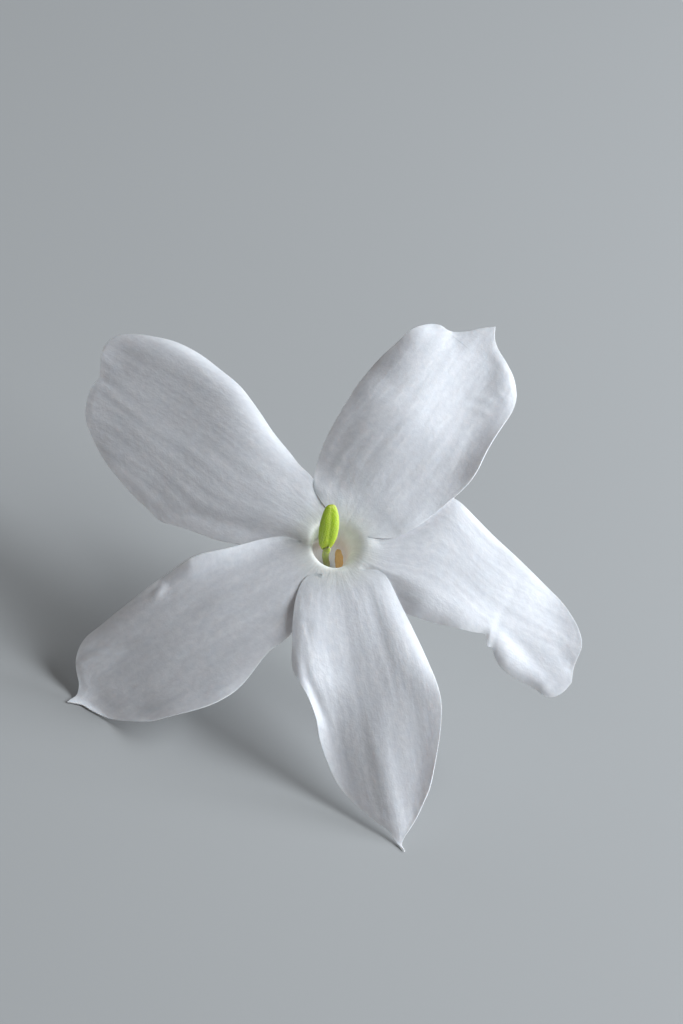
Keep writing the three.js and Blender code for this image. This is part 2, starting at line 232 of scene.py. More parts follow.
            (12.8, 5.65), (14.2, 5.6), (15.6, 5.3), (17.1, 4.8), (18.5, 4.25), (19.6, 3.4), (20.6, 2.5),
            (21.3, 1.7), (21.7, 1.1), (21.9, 0.6), (22.3, 0.35),
        ],
        "right": [
            (2.35, -1.9), (2.8, -2.35), (3.6, -2.75), (4.9, -3.1), (6.3, -3.4), (7.7, -3.7), (9.2, -4.12),
            (10.2, -4.32), (11.3, -4.4), (12.6, -4.45), (14.2, -4.35), (16, -4.2), (17.6, -4), (18.8, -3.85),
            (19.7, -3.4), (20.4, -2.7), (20.8, -1.9), (21.1, -1.1), (21.6, -0.5), (22.2, -0.3),
        ],
        "midline": [
            (2.5, 0), (6.5, -0.25), (9, -0.48), (11.5, -0.85), (14, -1.32), (16.5, -1.88), (19, -2.5),
            (21, -2.95), (23, -3.15),
        ],
        "tilt": [(3, 0), (9, 0.05), (13, 0.2), (16.5, 0.4), (20, 0.4), (23, 0.1)],
        "crownLeft": [(3, 0), (11.5, -0.1), (14, -0.4), (17, -0.8), (20, -0.6), (23, 0)],
        "crownRight": [(3, 0), (12, 0), (16.5, -0.15), (20, -0.1), (23, 0)],
        "leftMargin": [
            (3, 0), (4, 0.05), (6, 0.3), (8, 0.15), (11, 0.1), (14, 0.5), (17, 0.6), (20, 0.4), (23, 0),
        ],
        "rightMargin": [
            (2.5, 0.1), (4, 0.4), (6.5, 0.7), (9.3, 1), (10.6, 0.7), (12, 0.35), (13, 0.3), (14.2, 0),
            (23, 0),
        ],
        "tuck": [("left", 0.35, 0.85, 0.14, 4, 6.5)],
        "folds": [
            (0.8, (2.8, -2.2, 0), (4, -2.6, 0.12), (5.4, -3, 0.3), (7, -3.4, 0.5), (9, -4, 0.75),
             (10.2, -4.2, 0.85), (11.2, -4.3, 0.4), (12.2, -4.4, 0)),
            (0.28, (8.4, -3.2, 0), (9.2, -3.5, 0.1), (10.1, -3.8, 0.13), (10.8, -4.2, 0)),
            (0.3, (12.0, -4.35, 0), (12.4, -3.9, 0.15), (13.0, -3.7, 0.12), (13.6, -3.5, 0)),
            (0.25, (12.9, -4.3, 0), (13.3, -4, -0.05), (13.8, -3.8, 0)),
            (0.25, (10.4, -3, 0), (11, -3.5, -0.04), (11.5, -4, -0.03)),
            (0.35, (19.9, -3, -0.07), (18.6, -2.7, -0.07), (17, -1.9, -0.06), (15.5, -1.2, 0)),
            (0.3, (20.2, -2.4, 0.06), (18.7, -2.1, 0.06), (17.2, -1.3, 0)),
            (0.45, (20.6, 0, 0), (21.7, -0.05, 0.05), (22.8, 0, 0.1)),
        ],
    },
}


def smooth(x, low, high):
    share = np.clip((x - low) / (high - low), 0, 1)
    return share * share * (3 - 2 * share)


def smoothPath(points, shares):  # a curve through the points, read at shares of its length
    p = np.array(points, float)
    p = np.vstack([p[:1], p, p[-1:]])
    u = np.linspace(0, 1, 24, endpoint=False)[:, None]
    runs = []
    for a, b, c, d in zip(p[:-3], p[1:-2], p[2:-1], p[3:]):
        bend = (2 * a - 5 * b + 4 * c - d) * u**2 + (3 * b - a - 3 * c + d) * u**3
        runs.append(b + 0.5 * ((c - a) * u + bend))
    fine = np.vstack(runs + [p[-1:]])
    walked = np.concatenate([[0], np.cumsum(np.linalg.norm(np.diff(fine, axis=0), axis=1))])
    return np.stack([np.interp(shares * walked[-1], walked, axis) for axis in fine.T], axis=-1)


def bendTube(points):  # whatever follows the tube leans with it, mm in the flower's frame
    x, y, z = np.array(points, float).T
    arcRadius = lying["tubeLength"] / math.radians(lying["tubeBend"])
    turn = np.maximum(-z, 0) / arcRadius
    bentY = np.where(z < 0, arcRadius * (1 - np.cos(turn)) + y * np.cos(turn), y)
    bentZ = np.where(z < 0, -arcRadius * np.sin(turn) + y * np.sin(turn), z)
    return np.stack([x, bentY, bentZ], axis=1)


def flowerToPart(points):  # mm in the flower's frame to mm in the part's frame
    x, y, z = np.array(points, float).T
    lean = math.radians(90 - lying["axisElevation"])
    leant = [x, y * math.cos(lean) - z * math.sin(lean), y * math.sin(lean) + z * math.cos(lean)]
    return np.stack(leant, axis=1) + np.array(lying["mouth"])


def tubeToPart(points):
    return flowerToPart(bendTube(points))


def readPoints(piece):
    values = np.zeros(len(piece.data.vertices) * 3)
    piece.data.vertices.foreach_get("co", values)
    return values.reshape(-1, 3)


def writePoints(piece, points):
    piece.data.vertices.foreach_set("co", np.asarray(points, float).ravel())
    piece.data.update()


def writeMap(piece, name, values):  # a UV map from one pair of numbers for each vertex
    corners = np.zeros(len(piece.data.loops), int)
    piece.data.loops.foreach_get("vertex_index", corners)
    layer = piece.data.uv_layers.new(name=name)
    layer.data.foreach_set("uv", np.asarray(values, float)[corners].ravel())


def addSheet(name, columns, rows, shape):
    # A flat grid, x from 1 to -1 as t and y as q from 0 to 1, is moved into shape: shape(t, q) gives the
    # points in mm in the part's frame, the pattern map and the thickness share.
    bpy.ops.object.select_all(action="DESELECT")
    bpy.ops.mesh.primitive_grid_add(x_subdivisions=columns, y_subdivisions=rows, size=2)
    sheet = bpy.context.object
    sheet.name = name
    flat = readPoints(sheet)
    points, patternMap, thick = shape(-flat[:, 0], (flat[:, 1] + 1) / 2)
    while sheet.data.uv_layers:
        sheet.data.uv_layers.remove(sheet.data.uv_layers[0])
    writePoints(sheet, points * mm)
    writeMap(sheet, "pattern", patternMap)
    weights = sheet.vertex_groups.new(name="thick")
    for index, share in enumerate(thick):
        weights.add([index], float(share), "REPLACE")
    return sheet


def joinPieces(pieces, name, mergeDistance):
    bpy.ops.object.select_all(action="DESELECT")
    for piece in pieces:
        piece.select_set(True)
    bpy.context.view_layer.objects.active = pieces[0]
    if len(pieces) > 1:
        bpy.ops.object.join()
    whole = bpy.context.object
    whole.name = name
    whole.data.name = name
    bpy.ops.object.mode_set(mode="EDIT")
    bpy.ops.mesh.select_all(action="SELECT")
    bpy.ops.mesh.remove_doubles(threshold=mergeDistance)
    bpy.ops.object.mode_set(mode="OBJECT")
    return whole


def applyModifier(piece, kind, name, **settings):
    modifier = piece.modifiers.new(name, kind)
    for key, value in settings.items():
        setattr(modifier, key, value)
    bpy.ops.object.select_all(action="DESELECT")
    piece.select_set(True)
    bpy.context.view_layer.objects.active = piece
    bpy.ops.object.modifier_apply(modifier=name)


def finishPiece(piece, material, slot, *nodes):  # material None: it already has its materials
    bpy.ops.object.select_all(action="DESELECT")
    piece.select_set(True)
    bpy.context.view_layer.objects.active = piece
    bpy.ops.object.shade_smooth_by_angle(angle=math.radians(60))
    if material is not None:
        piece.data.materials.clear()
        piece.data.materials.append(material)
    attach(piece, "root")
    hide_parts(*nodes)
    print(piece.name, len(piece.data.vertices), "points")


def ripple(random, x, y, spacing, stretch, count=9):  # soft uneven waves, longer along y, about -1 to 1
    total = np.zeros_like(x)
    for _ in range(count):
        turn = random.uniform(-0.9, 0.9)
        step = spacing * random.uniform(0.7, 1.6)
        phase = random.uniform(0, 2 * math.pi)
        total += np.sin(2 * math.pi * (x * math.cos(turn) + y * math.sin(turn) / stretch) / step + phase)
    return total / count**0.5 / 1.6


def foldHeight(along, across, width, *line):
    best = np.full_like(along, 1e9)
    height = np.zeros_like(along)
    for start, end in zip(line[:-1], line[1:]):
        run = np.array(end[:2], float) - start[:2]
        share = np.clip(((along - start[0]) * run[0] + (across - start[1]) * run[1]) / (run @ run), 0, 1)
        distance = np.hypot(along - start[0] - share * run[0], across - start[1] - share * run[1])
        nearer = distance < best
        height = np.where(nearer, start[2] + (end[2] - start[2]) * share, height)
        best = np.minimum(best, distance)
    return height * np.exp(-((best / width) ** 2))


def curveAt(points, place):  # a smooth curve through (place, value) points
    places, values = np.array(points, float).T
    slopes = np.gradient(values, places)
    place = np.clip(place, places[0], places[-1])
    right = np.clip(np.searchsorted(places, place), 1, len(places) - 1)
    left = right - 1
    run = places[right] - places[left]
    u = (place - places[left]) / run
    start = (1 + 2 * u) * (1 - u) ** 2 * values[left] + u * (1 - u) ** 2 * run * slopes[left]
    return start + u**2 * (3 - 2 * u) * values[right] - u**2 * (1 - u) * run * slopes[right]


def streamOf(s, t, across):  # the veins fan out from the base, and run straight near the tip
    spread = smooth(s, 0.2, 0.55)
    return (0.4 + 0.6 * spread) * across + 2.4 * t * (1 - spread)


def lobeHeight(lobe, random, s, t, along, across, halfWidth):
    fromNotch = smooth(s, 0, 0.1)
    size = np.minimum(halfWidth / 5, 1.3)
    margin = np.clip((np.abs(t) - 0.5) / 0.5, 0, 1) ** 3
    crown = np.where(t > 0, curveAt(lobe["crownLeft"], along), curveAt(lobe["crownRight"], along))
    roll = np.where(t > 0, curveAt(lobe["leftMargin"], along), curveAt(lobe["rightMargin"], along))
    section = curveAt(lobe["tilt"], along) * t - crown * t * t + roll * margin
    height = curveAt(lobe["midline"], along) + section * size * fromNotch
    if "roofRight" in lobe:
        height -= curveAt(lobe["roofRight"], along) * (np.hypot(across, 0.9) - across) / 2 * fromNotch
    for edge, start, end, depth, low, high in lobe["tuck"]:
        hidden = smooth(t if edge == "left" else -t, start, end) * (1 - smooth(along, low, high))
        height -= depth * hidden * smooth(s, 0, 0.03)
    for fold in lobe["folds"]:
        height += foldHeight(along, across, *fold)
    body = smooth(s, 0.03, 0.2) * (1 - smooth(s, 0.85, 1))
    stream = streamOf(s, t, across)
    height += 0.008 * body * ripple(random, stream, along, 1.1, 9)  # lengthwise corrugation
    height += 0.02 * body * ripple(random, across, along, 4.5, 1.6)  # soft uneven swells
    height += 0.007 * body * ripple(random, across, along, 1.9, 1.7, 14)
    toEdge = (1 - np.abs(t)) * halfWidth
    edgeWave = ripple(random, 0 * t + np.sign(t) * 9, along, 3.2, 1.0)  # the margins wave a little
    height += 0.03 * body * np.exp(-((toEdge / 0.7) ** 2)) * edgeWave
    height -= 0.04 * body * np.exp(-((toEdge / 0.35) ** 2))  # the very edge rolls back
    return height


def shapeLobe(name, lobe, index):
    random = np.random.default_rng(corolla["seed"] + index)
    rim = corolla["rimRadius"]
    rightTurn, leftTurn = ((notches[key] - lobe["bearing"] + 540) % 360 - 180 for key in lobe["notches"])
    tubeRows, rows = corolla["tubeRows"], corolla["tubeRows"] + corolla["lobeRows"]

    def shape(t, q):
        row = np.rint(q * rows)
        inTube = row <= tubeRows
        level = np.clip(row / tubeRows, 0, 1)
        s = np.clip((row - tubeRows) / corolla["lobeRows"], 0, 1)
        turn = np.radians(rightTurn + (leftTurn - rightTurn) * (t + 1) / 2)
        fromLip = turn + math.radians(lobe["bearing"] - corolla["lipBearing"])
        sharp = smooth(np.cos(fromLip), -0.1, 0.6)[:, None]
        soft, lip = (smoothPath(corolla[key], 1 - (1 - level) ** 1.7) for key in ("throat", "lip"))
        ring = soft + (lip - soft) * sharp
        foot = [(rim * math.cos(a), rim * math.sin(a)) for a in map(math.radians, (rightTurn, leftTurn))]
        right = smoothPath([foot[0], *lobe["right"], lobe["tip"]], s)
        left = smoothPath([foot[1], *lobe["left"], lobe["tip"]], s)
        blade = right + (left - right) * ((t + 1) / 2)[:, None]
        chord = np.array(foot[0]) + (np.array(foot[1]) - foot[0]) * ((t + 1) / 2)[:, None]
        arc = rim * np.stack([np.cos(turn), np.sin(turn)], axis=1)
        blade += (arc - chord) * (1 - smooth(s, 0, 0.25))[:, None]
        early = s / corolla["bulgeAt"] * np.exp(1 - s / corolla["bulgeAt"]) * (1 - smooth(s, 0.4, 0.8))
        blade[:, 0] += corolla["rowBulge"] * (1 - t * t) * early
        blade[:, 0] -= lobe["lag"] * (1 - t * t) * smooth(s, 0.7, 0.92) * (1 - smooth(s, 0.92, 1))
        halfWidth = np.linalg.norm(left - right, axis=1) / 2
        along = np.where(inTube, ring[:, 0] * np.cos(turn), blade[:, 0])
        across = np.where(inTube, ring[:, 0] * np.sin(turn), blade[:, 1])
        height = np.where(inTube, ring[:, 1], lobeHeight(lobe, random, s, t, along, across, halfWidth))
        bearing = math.radians(lobe["bearing"])
        x = along * math.cos(bearing) - across * math.sin(bearing)
        y = along * math.sin(bearing) + across * math.cos(bearing)
        points = np.stack([x, y, height], axis=1)
        points = flowerToPart(np.where(inTube[:, None], bendTube(points), points))
        stream = np.where(inTube, streamOf(0 * s, t, arc[:, 1]), streamOf(s, t, across))
        distance = np.where(inTube, ring[:, 1] + ring[:, 0] - rim, along - arc[:, 0])
        patternMap = np.stack([stream + 40 * index, distance], axis=1)
        toEdge = np.where(inTube, 5, (1 - np.abs(t)) * halfWidth)
        thick = corolla["marginShare"] + (1 - corolla["marginShare"]) * smooth(toEdge, 0.1, 1.5)
        return points, patternMap, thick

    return addSheet("lobe_" + name, corolla["columns"], rows, shape)


def restOnSurface(piece, level=0.0, softness=0.0):  # nothing sinks below the surface that the flower lies on
    points = readPoints(piece)
    above = points[:, 2] - level * mm
    points[:, 2] = level * mm + (above + np.sqrt(above**2 + (softness * mm) ** 2)) / 2
    writePoints(piece, points)


def makeCorolla(face, back):
    sheets = [shapeLobe(name, lobe, index) for index, (name, lobe) in enumerate(lobes.items())]
    piece = joinPieces(sheets, "corollaSheet", 0.004 * mm)
    restOnSurface(piece, 0.12, 0.2)  # leaves room for the thickness, which goes on below
    piece.data.materials.append(face)
    piece.data.materials.append(back)
    applyModifier(
        piece, "SOLIDIFY", "thickness", thickness=corolla["thickness"] * mm, offset=-1,
        vertex_group="thick", thickness_vertex_group=0.0, material_offset=1,
    )
    restOnSurface(piece)
    finishPiece(piece, None, "petal_white", "corolla")


def addRod(name, path, radiusAt, sides, rings, caps=2, toPart=None):
    # A grid wrapped round a smooth path in mm: radiusAt(q, angle) is its radius, and the first and last rows
    # close it flat.
    def shape(t, q):
        row = np.rint(q * rings)
        share = np.clip((row - caps) / (rings - 2 * caps), 0, 1)
        closing = np.minimum(np.minimum(row, rings - row) / caps, 1)
        angle = math.pi * t
        centres = smoothPath(path, share)
        ahead = smoothPath(path, np.minimum(share + 0.01, 1)) - smoothPath(path, np.maximum(share - 0.01, 0))
        ahead /= np.linalg.norm(ahead, axis=1)[:, None]
        side = np.cross(ahead, np.array([0.95, 0.3, 0.1]))
        side /= np.linalg.norm(side, axis=1)[:, None]
        other = np.cross(ahead, side)
        radius = (radiusAt(share, angle) * closing)[:, None]
        points = centres + radius * (side * np.cos(angle)[:, None] + other * np.sin(angle)[:, None])
        if toPart is not None:
            points = toPart(points)
        length = np.linalg.norm(np.diff(np.array(path, float), axis=0), axis=1).sum()
        return points, np.stack([angle, share * length], axis=1), np.ones_like(t)

    rod = addSheet(name, sides, rings, shape)
    return joinPieces([rod], name, 0.002 * mm)


calyx = {
    "foot": -18.3,  # mm down the tube
    "toothLength": 4.2,
    "profile": [(0.45, -19.2), (0.95, -19.1), (1.4, -18.7), (1.72, -17.6), (1.88, -16.4), (1.95, -15.3)],
    "teeth": 5,
    "columns": 26,
    "cupRows": 16,
    "toothRows": 26,
    "thickness": 0.32,
}


def shapeSepal(index):
    count = calyx["teeth"]
    rows = calyx["cupRows"] + calyx["toothRows"]
    centre = 2 * math.pi * (index + 0.5) / count

    def shape(t, q):
        row = np.rint(q * rows)
        cup = smoothPath(calyx["profile"], np.clip(row / calyx["cupRows"], 0, 1))
        s = np.clip((row - calyx["cupRows"]) / calyx["toothRows"], 0, 1)
        narrow = (1 - smooth(s, 0, 0.22)) * 0.78 + 0.22 * (1 - s) ** 0.8 + 0.012
        angle = centre + math.pi / count * t * np.minimum(narrow, 1)
        height = cup[:, 1] + calyx["toothLength"] * s
        lean = 0.1 * calyx["toothLength"] * s**1.3 + 0.1 * np.sin(3 * s + index) * s
        rib = 0.05 * np.exp(-((t / 0.22) ** 2)) * smooth(q, 0.05, 0.3)
        radius = cup[:, 0] + lean + rib
        points = tubeToPart(np.stack([radius * np.cos(angle), radius * np.sin(angle), height], axis=1))
        patternMap = np.stack([angle * 2, height], axis=1)
        thick = 0.45 + 0.55 * (1 - s)
        return points, patternMap, thick

    return addSheet("sepal_" + str(index), calyx["columns"], rows, shape)


def makeCalyx(material):
    piece = joinPieces([shapeSepal(i) for i in range(calyx["teeth"])], "calyxCup", 0.0002 * mm)
    applyModifier(
        piece, "SOLIDIFY", "thickness", thickness=calyx["thickness"] * mm, offset=1,
        vertex_group="thick", thickness_vertex_group=0.0,
    )
    restOnSurface(piece)
    finishPiece(piece, material, "calyx_green", "calyx")


stalk = {"radius": 0.55, "run": 9, "rest": 0.49, "sides": 24, "rings": 70}


def makeStalk(material):
    top = tubeToPart([(0, 0, calyx["foot"] - 0.85)])[0]
    heading = top - tubeToPart([(0, 0, calyx["foot"])])[0]
    start = tubeToPart([(0, 0, calyx["foot"] - 1.2)])[0]
    second = start + 0.7 * heading / np.linalg.norm(heading)
    rest = stalk["rest"]
    x, y, z = second
    path = [
        top, second,
        (x + 0.1, y + 1.7, rest + 0.3 * (z - rest)),
        (x + 0.3, y + 3.4, rest + 0.03),
        (x + 0.7, y + 0.6 * stalk["run"], rest),
        (x + 1.6, y + stalk["run"] - 0.05, rest),
    ]

    def radiusAt(q, angle):
        flare = 0.12 * np.exp(-((q / 0.08) ** 2)) + 0.08 * smooth(q, 0.9, 0.97)
        return stalk["radius"] * (0.93 + flare + 0.03 * np.sin(5 * angle) + 0.02 * np.sin(23 * q + 2 * angle))

    piece = addRod("stalkRod", path, radiusAt, stalk["sides"], stalk["rings"])
    restOnSurface(piece)
    finishPiece(piece, material, "stalk_green", "pedicel")


pistil = {
    "foot": (-0.42, -0.62, -0.25),  # mm in the flower's frame
    "tip": (-1.35, 1.65, 2.95),
    "halfWidth": 0.77,
    "halfDepth": 0.34,
    "styleRadius": 0.24,
}


def makePistil(material):
    foot, tip = np.array(pistil["foot"]), np.array(pistil["tip"])
    x, y, z = foot
    stylePath = [
        (0, 0, -16.8), (0, 0, -12), (0, 0, -7), (0, -0.25, -4.5), (-0.15, -0.6, -2.5), (-0.36, -0.6, -1.2),
        (x, y, z + 0.4),
    ]
    style = addRod(
        "style", stylePath, lambda q, angle: pistil["styleRadius"] * (1 + 0.15 * smooth(q, 0.85, 1)), 16, 60,
        toPart=tubeToPart,
    )
    ovary = addRod(
        "ovary", [(0, 0, -18), (0, 0, -17.2), (0, 0, -16.4)],
        lambda q, angle: 0.55 * np.sqrt(np.clip(1 - (2 * q - 1) ** 2, 0, 1)), 16, 16, toPart=tubeToPart,
    )
    stigma = makeStigma(foot, tip)
    piece = joinPieces([stigma, style, ovary], "pistilRod", 0.0005 * mm)
    finishPiece(piece, material, "stigma_green", "pistil")


def makeStigma(foot, tip):
    bpy.ops.object.select_all(action="DESELECT")
    bpy.ops.mesh.primitive_uv_sphere_add(segments=64, ring_count=64, radius=1)
    lens = bpy.context.object
    lens.name = "stigma"
    ball = readPoints(lens)
    along = tip - foot
    length = np.linalg.norm(along)
    along = along / length
    out = np.array([0.4, -0.2, 1.0])  # the flat side looks about out of the mouth
    depth = out - along * (out @ along)
    depth /= np.linalg.norm(depth)
    width = np.cross(along, depth)
    share = (ball[:, 2] + 1) / 2
    full = np.sqrt(np.clip(1 - ball[:, 2] ** 2, 0, 1))
    pointed = full ** (0.95 - 0.3 * smooth(share, 0.1, 0.5)) * (1 - 0.1 * smooth(share, 0.5, 1))
    flat = ball[:, :2] / np.maximum(full, 1e-6)[:, None]
    flat = np.where(full[:, None] > 1e-6, flat, 0)
    across = flat[:, 0] * pistil["halfWidth"] * pointed
    deep = np.sign(flat[:, 1]) * np.abs(flat[:, 1]) ** 0.7 * pistil["halfDepth"] * pointed
    deep -= np.sign(flat[:, 1]) * 0.06 * np.exp(-((across / 0.16) ** 2)) * smooth(full, 0.3, 0.8)
    centre = (foot + tip) / 2 + np.outer(ball[:, 2] * length / 2, along)
    curl = 0.12 * (ball[:, 2] ** 2)
    points = centre + np.outer(across, width) + np.outer(deep - curl, depth)
    random = np.random.default_rng(5)
    bumps = ripple(random, across, ball[:, 2] * length / 2, 0.16, 1.0, 12)
    normals = np.outer(flat[:, 0], width) + np.outer(flat[:, 1], depth)
    points += normals * (0.01 * bumps * smooth(full, 0.1, 0.4))[:, None]
    while lens.data.uv_layers:
        lens.data.uv_layers.remove(lens.data.uv_layers[0])
    writePoints(lens, flowerToPart(points) * mm)
    writeMap(lens, "pattern", np.stack([across + 9, share * length], axis=1))
    return lens


anthers = {  # low, middle and high end of each, mm in the flower's frame with z down the tube
    "right": [(0.98, -0.36, -4.2), (0.72, -0.05, -2.8), (0.36, 0.24, -1.45)],
    "left": [(-0.46, 0.76, -4.1), (-0.5, 0.74, -2.9), (-0.52, 0.72, -1.7)],
    "halfWidth": 0.31,
}


def makeStamen(name, node, side, material):
    low, middle, high = (np.array(point) for point in anthers[side])

    def antherRadius(q, angle):
        body = np.clip(1 - (2 * q - 1) ** 2, 0, 1) ** 0.38
        groove = 0.22 * np.exp(-((np.sin(angle) / 0.3) ** 2))
        return anthers["halfWidth"] * body * (1 - groove + 0.06 * np.sin(19 * q + 3 * angle))

    anther = addRod("anther", [low, middle, high], antherRadius, 28, 36, toPart=tubeToPart)
    root = low * (1, 1, 0) / np.linalg.norm(low[:2]) * 1.25 + (0, 0, low[2] - 1.3)
    filamentPath = [middle, low - (0, 0, 0.3), root]
    filament = addRod("filament", filamentPath, lambda q, angle: 0.13 + 0 * q, 10, 14, toPart=tubeToPart)
    piece = joinPieces([anther, filament], name, 0.0005 * mm)
    finishPiece(piece, material, "anther_yellow", node)


def addNode(tree, kind, inputs=None, **settings):
    made = tree.nodes.new(kind)
    for key, value in settings.items():
        setattr(made, key, value)
    for key, value in (inputs or {}).items():
        if isinstance(value, bpy.types.NodeSocket):
            tree.links.new(value, made.inputs[key])
        else:
            made.inputs[key].default_value = value
    return made


def makeGroup(name, inputs, outputs):
    tree = bpy.data.node_groups.new(name, "ShaderNodeTree")
    for label, kind, value in inputs:
        socket = tree.interface.new_socket(label, in_out="INPUT", socket_type=kind)
        if value is not None:
            socket.default_value = value
    for label, kind in outputs:
        tree.interface.new_socket(label, in_out="OUTPUT", socket_type=kind)
    return tree, tree.nodes.new("NodeGroupInput"), tree.nodes.new("NodeGroupOutput")


def stretchedNoise(tree, place, crosswise, lengthwise, detail=3.0, offset=0.0):
    mapped = addNode(tree, "ShaderNodeMapping", {"Vector": place, "Location": (offset, offset, 0)})
    mapped.inputs["Scale"].default_value = (1 / crosswise, 1 / lengthwise, 1)
    noise = addNode(tree, "ShaderNodeTexNoise", {"Vector": mapped.outputs[0], "Scale": 1.0, "Detail": detail})
    return noise.outputs["Fac"]


def makeStreaks():  # lengthwise veins and soft mottling, from a map in mm
    tree, given, result = makeGroup(
        "petalStreaks", [("Place", "NodeSocketVector", None)],
        [("Lines", "NodeSocketFloat"), ("Mottle", "NodeSocketFloat"), ("Relief", "NodeSocketFloat")],
    )
    place = given.outputs["Place"]
    broad = stretchedNoise(tree, place, 1.2, 6.0, 1.0)
    fine = stretchedNoise(tree, place, 0.45, 3.0, 1.5, 17.0)
    blotch = stretchedNoise(tree, place, 0.34, 0.5, 3.0, 31.0)
    both = addNode(tree, "ShaderNodeMath", {0: fine, 1: 0.7, 2: broad}, operation="MULTIPLY_ADD")
    both = both.outputs[0]
    lines = addNode(tree, "ShaderNodeMapRange", {"Value": both, "From Min": 0.58, "From Max": 1.12})
    mottle = addNode(tree, "ShaderNodeMapRange", {"Value": blotch, "From Min": 0.32, "From Max": 0.68})
    relief = addNode(tree, "ShaderNodeMath", {0: blotch, 1: 0.7, 2: both}, operation="MULTIPLY_ADD")
    tree.links.new(lines.outputs[0], result.inputs["Lines"])
    tree.links.new(mottle.outputs[0], result.inputs["Mottle"])
    tree.links.new(relief.outputs[0], result.inputs["Relief"])
    return tree


def makeCells():  # the fine grain of plant skin, from object coordinates: Grain is a mask, Relief a height
    tree, given, result = makeGroup(
        "plantCells", [("Place", "NodeSocketVector", None), ("Size", "NodeSocketFloat", 0.00015)],
        [("Grain", "NodeSocketFloat"), ("Relief", "NodeSocketFloat")],
    )
    scale = addNode(tree, "ShaderNodeMath", {0: 1.0, 1: given.outputs["Size"]}, operation="DIVIDE")
    place, scale = given.outputs["Place"], scale.outputs[0]
    cells = addNode(tree, "ShaderNodeTexVoronoi", {"Vector": place, "Scale": scale})
    cloud = addNode(tree, "ShaderNodeTexNoise", {"Vector": place, "Scale": scale, "Detail": 2.0})
    tree.links.new(cloud.outputs["Fac"], result.inputs["Grain"])
    tree.links.new(cells.outputs["Distance"], result.inputs["Relief"])
    return tree


def startMaterial(name):
    material = bpy.data.materials.new(name)
    material.use_nodes = True
    tree = material.node_tree
    return material, tree, tree.nodes["Principled BSDF"]


def nearMouth(tree, place, near, far, spot=(0, 0, 0)):  # 1 within near mm of a spot, 0 beyond far mm
    middle = tuple(flowerToPart([spot])[0] * mm)
    distance = addNode(tree, "ShaderNodeVectorMath", {0: place, 1: middle}, operation="DISTANCE")
    ranged = addNode(
        tree, "ShaderNodeMapRange",
        {
            "Value": distance.outputs["Value"], "From Min": near * mm, "From Max": far * mm,
            "To Min": 1.0, "To Max": 0.0,
        },
        interpolation_type="SMOOTHSTEP",
    )
    return ranged.outputs[0]


def mixColour(tree, share, first, second):
    mixed = addNode(tree, "ShaderNodeMix", {"Factor": share}, data_type="RGBA")
    for socket, value in ((mixed.inputs[6], first), (mixed.inputs[7], second)):
        if isinstance(value, bpy.types.NodeSocket):
            tree.links.new(value, socket)
        else:
            socket.default_value = (*value, 1)
    return mixed.outputs[2]


def ramp(tree, value, low, high):  # 0 at low to 1 at high, smoothed
    ends = {"Value": value, "From Min": low, "From Max": high}
    made = addNode(tree, "ShaderNodeMapRange", ends, interpolation_type="SMOOTHSTEP")
    return made.outputs[0]


def scaled(tree, value, factor, offset=0.0):
    made = addNode(tree, "ShaderNodeMath", {0: value, 1: factor, 2: offset}, operation="MULTIPLY_ADD")
    return made.outputs[0]


petalLook = {
    "white": (0.84, 0.84, 0.865),
    "shade": (0.65, 0.655, 0.69),
    "throatGreen": (0.74, 0.75, 0.60),
    # painted shade for the left wall just inside the mouth
    "lipShade": (0.26, 0.28, 0.20),
    "tubeGreen": (0.50, 0.58, 0.30),
    "throughLight": (0.14, 0.14, 0.135),  # painted glow: emission that stands in for the light coming through the thin wall of the tube
    "roughness": 0.6,
    "grain": 0.00014,  # m
}


